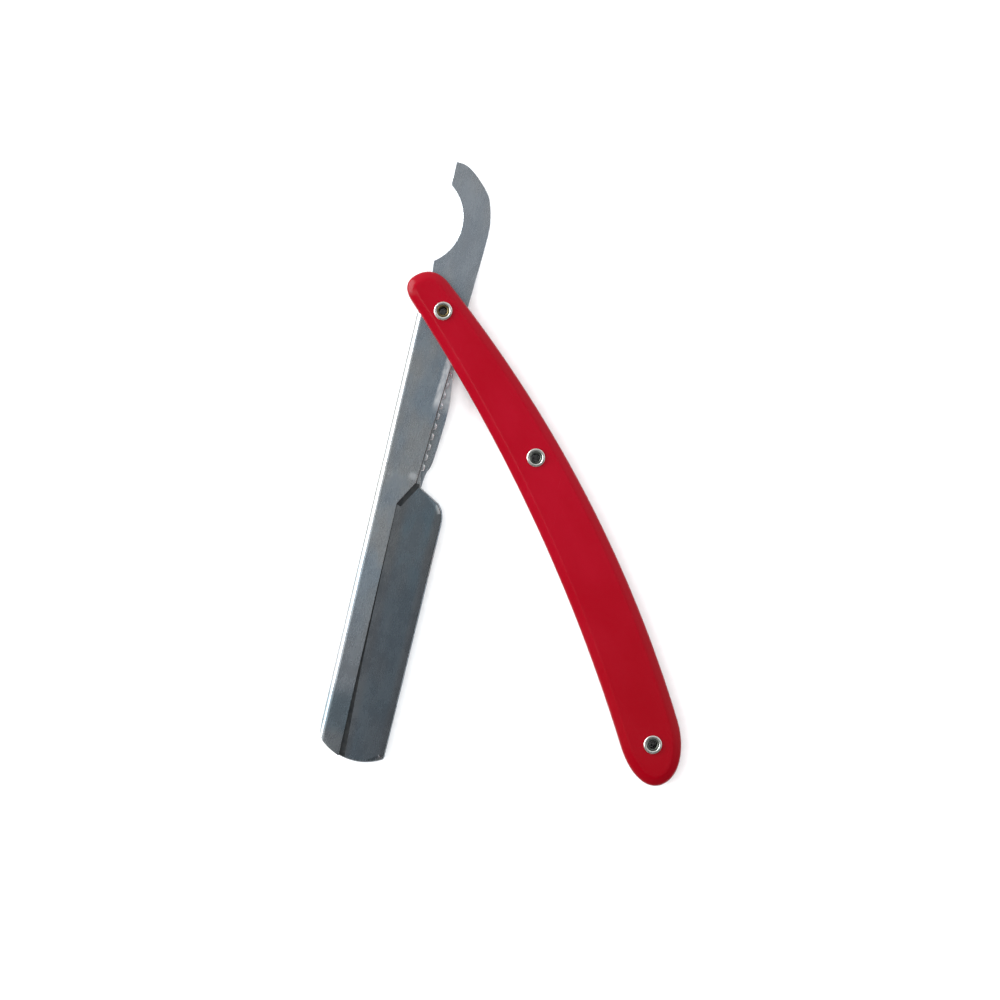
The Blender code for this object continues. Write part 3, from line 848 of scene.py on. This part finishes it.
def steel_material():
    """Rolled steel with painted light and shade: a painted reflection beside the front wall's edge with a
    rubbed bright spot, a lighter tail, a painted dark reflection line along the fold's outer edge, and
    painted shade towards the toe.
    """
    n = Nodes("rolled_steel", arm_frame)
    tone, roughness, normal = worn_steel(n, COOL_STEEL, WARM_STEEL)
    x, y, z = n.place()
    # Painted reflection: a bright smudge along the front wall's edge near the pivot end; the rubbed spot is
    # joined to it below.
    edge = n.maths("ADD", y, n.maths("MULTIPLY", x, WALL_EDGE_SLOPE))
    sheen_and_rubbed = n.maths("MULTIPLY", n.ranged(edge, 3.9, 4.6), n.ranged(x, 26, 21))
    sheen_and_rubbed = n.maths("MULTIPLY", sheen_and_rubbed, n.ranged(x, 7, 12))
    sheen_and_rubbed = n.maths("MULTIPLY", sheen_and_rubbed, n.ranged(z, 3.5, 3.8))
    front = n.ranged(z, 4.6, 5.4)
    spot = n.add("ShaderNodeVectorMath", {"operation": "DISTANCE"}).outputs["Value"]
    for socket, value in zip(spot.node.inputs, (n.joined(x, y), SPOT)):
        n.join(value, socket)
    sheen_and_rubbed = n.maths("MAXIMUM", sheen_and_rubbed, n.maths("MULTIPLY", front, n.ranged(spot, 1.6, 0.2, 0.0, 0.7)))
    sheen_and_rubbed = n.maths("MULTIPLY", sheen_and_rubbed, n.ranged(n.noise((700, 1500, 1500), 3.0), 0.3, 0.6, 0.6, 1.0))
    # Painted light: the tail is made lighter, where the light falls brighter.
    tone = n.mix(n.ranged(x, -2, -12, 0.0, 0.47), tone, (0.80, 0.83, 0.86))
    tone = n.mix(sheen_and_rubbed, tone, (0.97, 0.98, 0.99))
    roughness = n.maths("ADD", roughness, n.maths("MULTIPLY", sheen_and_rubbed, 0.14))
    # Painted reflection: a dark line along the fold's outermost edge.
    tone = n.mix(n.ranged(y, -5.95, -6.1, 0.0, 0.95), tone, (0.15, 0.16, 0.155))
    # Painted shade: darker bands along the front towards the toe.
    for start, end, share, colour in TOE_SHADE_BANDS:
        tone = n.mix(n.maths("MULTIPLY", front, n.ranged(x, start, end, 0.0, share)), tone, colour)
    return n.set(Base_Color=tone, Metallic=1.0, Roughness=roughness, Normal=normal)


def pad_material():
    """The head's clamping face, in steel painted darker than the leaf's as painted shade, bluer along its
    middle, greyer towards its two long edges and darker towards the toe.
    """
    n = Nodes("pad_steel_painted_shade", arm_frame)
    # Painted shade: darker steel colours than the rest of the leaf.
    tone, roughness, normal = worn_steel(n, (0.26, 0.36, 0.42), (0.32, 0.37, 0.40))
    x, y, _ = n.place()
    grey = n.maths("MAXIMUM", n.ranged(y, 3.4, 1.2), n.ranged(y, 8.6, 10.2))
    tone = n.mix(n.maths("MULTIPLY", grey, 0.8), tone, (0.33, 0.33, 0.325))
    # Painted shade: darker towards the toe.
    tone = n.mix(n.ranged(x, 58, 74, 0.0, 0.6), tone, (0.25, 0.27, 0.295))
    return n.set(Base_Color=tone, Metallic=1.0, Roughness=roughness, Normal=normal)


def crest_highlight_material():
    """The teeth's rounded crests, in steel much brighter than the leaf's, as a painted highlight."""
    n = Nodes("crest_highlight_steel", arm_frame)
    tone, roughness, normal = worn_steel(n, (0.86, 0.88, 0.90), (0.95, 0.95, 0.94))
    return n.set(Base_Color=tone, Metallic=1.0, Roughness=roughness, Normal=normal)


def recess_material():
    """The leaf's face under the front wall: bare where it is covered, and painted dark along the gap as
    painted shade.
    """
    n = Nodes("gap_shade_steel", arm_frame)
    tone, roughness, normal = worn_steel(n, COOL_STEEL, WARM_STEEL)
    x, y, _ = n.place()
    wall = n.maths("MAXIMUM", n.maths("MINIMUM", *[n.line(run, x) for run in WALL_RUNS]), n.line(LIP_EDGE, x))
    # Painted shade: dark grey along the gap beside the front wall, near black along the gap at the lip, and
    # duller and less metallic there.
    gap_shade = n.ranged(n.maths("SUBTRACT", y, wall), -1.6, -0.2)
    blotches = n.noise((600, 900, 900), 3.0)
    black = n.mix(n.ranged(blotches, 0.3, 0.7), (0.014, 0.017, 0.020), (0.034, 0.036, 0.036))
    black = n.mix(n.ranged(x, 43.3, 42.9), black, (0.10, 0.10, 0.102))
    tone = n.mix(gap_shade, tone, black)
    roughness = n.maths("ADD", roughness, n.maths("MULTIPLY", gap_shade, 0.35))
    metallic = n.ranged(gap_shade, 0.0, 1.0, 1.0, 0.3)
    return n.set(Base_Color=tone, Metallic=metallic, Roughness=roughness, Normal=normal)


def plastic_material():
    """Red moulded plastic, polished but handled: faint clouds, hairline scratches, soft orange peel."""
    n = Nodes("red_plastic", handle_frame)
    clouds = n.noise((70, 120, 120), 3.0)
    pigment = n.noise((2500, 2500, 2500), 3.0, 0.7)
    peel = n.noise((900, 900, 900), 2.0)
    x = n.place()[0]
    tone = n.mix(n.ranged(clouds, 0.25, 0.75), (0.229, 0.0, 0.006), (0.247, 0.0, 0.008))
    # Painted shade: darker towards the scale's lower end.
    tone = n.mix(n.ranged(x, 50, 125, 0.0, 0.8), tone, (0.185, 0.0, 0.003))
    tone = n.mix(n.ranged(pigment, 0.2, 0.8, 0.0, 0.12), tone, (0.30, 0.0, 0.010))
    roughness = n.ranged(clouds, 0.3, 0.7, 0.15, 0.19)
    for turn in (0.1, -0.7):
        roughness = n.maths("ADD", roughness, n.maths("MULTIPLY", scratches(n, turn, 0.73), 0.12))
    n.shader.inputs["Specular IOR Level"].default_value = 0.16
    return n.set(Base_Color=tone, Metallic=0.0, Roughness=roughness, Normal=n.bump(peel, 0.00002, 0.12))


def plated_material(name, bright, dulled, smooth_at, rough_at, bore_shade=0.0):
    """Plated metal, with faint turning marks and dulled patches, and painted shade deep in a rivet's bore."""
    n = Nodes(name, handle_frame)
    marks = n.noise((2500, 2500, 9000), 3.0)
    dulling = n.noise((700, 700, 700), 2.0)
    tone = n.mix(n.ranged(dulling, 0.4, 0.7), bright, dulled)
    middle = sum(heights("pivot_rivet")) / 2
    depth = n.maths("ABSOLUTE", n.maths("SUBTRACT", n.place()[2], middle), 0.0)
    # Painted shade: darker deep inside the bore, away from the rivet's ends.
    tone = n.mix(n.ranged(depth, 4.3, 3.3, 0.0, bore_shade), tone, (0.022, 0.016, 0.012))
    roughness = n.ranged(marks, 0.3, 0.7, smooth_at, rough_at)
    return n.set(Base_Color=tone, Metallic=1.0, Roughness=roughness, Normal=n.bump(marks, 0.000008, 0.2))


def nylon_material():
    """Natural nylon, slightly yellowed and cloudy."""
    n = Nodes("natural_nylon", handle_frame)
    clouds = n.noise((400, 400, 400), 3.0)
    tone = n.mix(n.ranged(clouds, 0.3, 0.7), (0.72, 0.71, 0.66), (0.64, 0.62, 0.55))
    roughness = n.ranged(clouds, 0.3, 0.7, 0.42, 0.55)
    return n.set(Base_Color=tone, Metallic=0.0, Roughness=roughness, Normal=n.bump(clouds, 0.00002, 0.2))


# ---------------------------------------------------------------- floor, light and camera


# In metres. The middle of the view lies a little off the middle of the razor.
CAMERA_DISTANCE = 1.0
VIEW_WIDTH = 0.25
VIEW_OFFSET = (-0.00011, -0.006675)


def make_floor():
    n = Nodes("floor_paper", Matrix.Identity(4))
    fibres = n.noise((400, 400, 400), 3.0)
    tone = n.mix(n.ranged(fibres, 0.3, 0.7), (0.95, 0.95, 0.95), (0.98, 0.98, 0.98))
    material = n.set(Base_Color=tone, Roughness=0.9)
    n.shader.inputs["Specular IOR Level"].default_value = 0.1
    shape = bmesh.new()
    bmesh.ops.create_grid(shape, x_segments=1, y_segments=1, size=8)
    mesh = bpy.data.meshes.new("floor")
    shape.to_mesh(mesh)
    shape.free()
    floor = bpy.data.objects.new("floor", mesh)
    mesh.materials.append(material)
    bpy.context.scene.collection.objects.link(floor)


def add_area_light(name, place, aim, width, height, power, glossy=True):
    light = bpy.data.lights.new(name, "AREA")
    light.shape = "RECTANGLE"
    light.size = width
    light.size_y = height
    light.energy = power
    obj = bpy.data.objects.new(name, light)
    obj.location = place
    obj.rotation_euler = (Vector(aim) - Vector(place)).to_track_quat("-Z", "Y").to_euler()
    obj.visible_camera = False
    obj.visible_glossy = glossy
    bpy.context.scene.collection.objects.link(obj)


def make_world():
    """A studio tent: white walls low down, brighter on the pivot's side, and a grey top."""
    world = bpy.data.worlds.new("studio")
    bpy.context.scene.world = world
    world.use_nodes = True
    tree = world.node_tree
    background = tree.nodes["Background"]
    where = tree.nodes.new("ShaderNodeTexCoord")
    split = tree.nodes.new("ShaderNodeSeparateXYZ")
    ramp = tree.nodes.new("ShaderNodeValToRGB")
    side = tree.nodes.new("ShaderNodeMapRange")
    tree.links.new(where.outputs["Generated"], split.inputs["Vector"])
    tree.links.new(split.outputs["Z"], ramp.inputs["Fac"])
    tree.links.new(split.outputs["Y"], side.inputs["Value"])
    for name, number in (("From Min", -0.32), ("From Max", 0.16), ("To Min", 0.3), ("To Max", 1.25)):
        side.inputs[name].default_value = number
    tree.links.new(ramp.outputs["Color"], background.inputs["Color"])
    tree.links.new(side.outputs["Result"], background.inputs["Strength"])
    stops = (
        (0.0, (1.0, 1.0, 1.0)),
        (0.55, (0.9, 0.91, 0.93)),
        (0.9, (0.33, 0.35, 0.37)),
        (1.0, (0.23, 0.245, 0.265)),
    )
    elements = ramp.color_ramp.elements
    while len(elements) < len(stops):
        elements.new(0.5)
    for element, (position, colour) in zip(elements, stops):
        element.position = position
        element.color = (*colour, 1.0)


def make_camera():
    """Straight above the razor. The view is 250 mm wide at the height of the blade holder's front."""
    low, high = cad_box
    middle = (low + high) / 2
    data = bpy.data.cameras.new("camera")
    data.sensor_width = 36.0
    data.lens = data.sensor_width * CAMERA_DISTANCE / VIEW_WIDTH
    data.clip_end = 20.0
    camera = bpy.data.objects.new("camera", data)
    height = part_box("spine_leaf")[1].z + CAMERA_DISTANCE
    camera.location = (middle.x + VIEW_OFFSET[0], middle.y + VIEW_OFFSET[1], height)
    bpy.context.scene.collection.objects.link(camera)
    bpy.context.scene.camera = camera


def make_studio():
    make_floor()
    make_world()
    make_camera()
    add_area_light("key", (-0.9, 0.3, 0.45), (0, 0, 0), 1.0, 0.55, 13.0)
    add_area_light("strip", (-0.8, -0.2, 1.0), (0, 0, 0), 0.25, 1.4, 2.2)
    add_area_light("overhead", (0, 0, 1.6), (0, 0, 0), 1.6, 1.6, 27.0, glossy=False)
    bpy.context.scene.view_settings.view_transform = "Standard"


materials = {
    "steel": steel_material(),
    "pad_steel": pad_material(),
    "recess_steel": recess_material(),
    "crest_highlight_steel": crest_highlight_material(),
    "plastic": plastic_material(),
    "nickel": plated_material("nickel_plate", (0.74, 0.74, 0.69), (0.58, 0.59, 0.54), 0.24, 0.36),
    # Painted shade: this aged nickel is far darker than the collars' nickel.
    "aged_nickel_painted_shade": plated_material("aged_nickel_painted_shade", (0.13, 0.14, 0.125), (0.06, 0.065, 0.06), 0.3, 0.45, 0.85),
    "brass": plated_material("dull_brass", (0.22, 0.165, 0.075), (0.10, 0.075, 0.04), 0.3, 0.48, 0.85),
    "nylon": nylon_material(),
}
make_handle(materials)
make_blade_holder(materials)
make_studio()
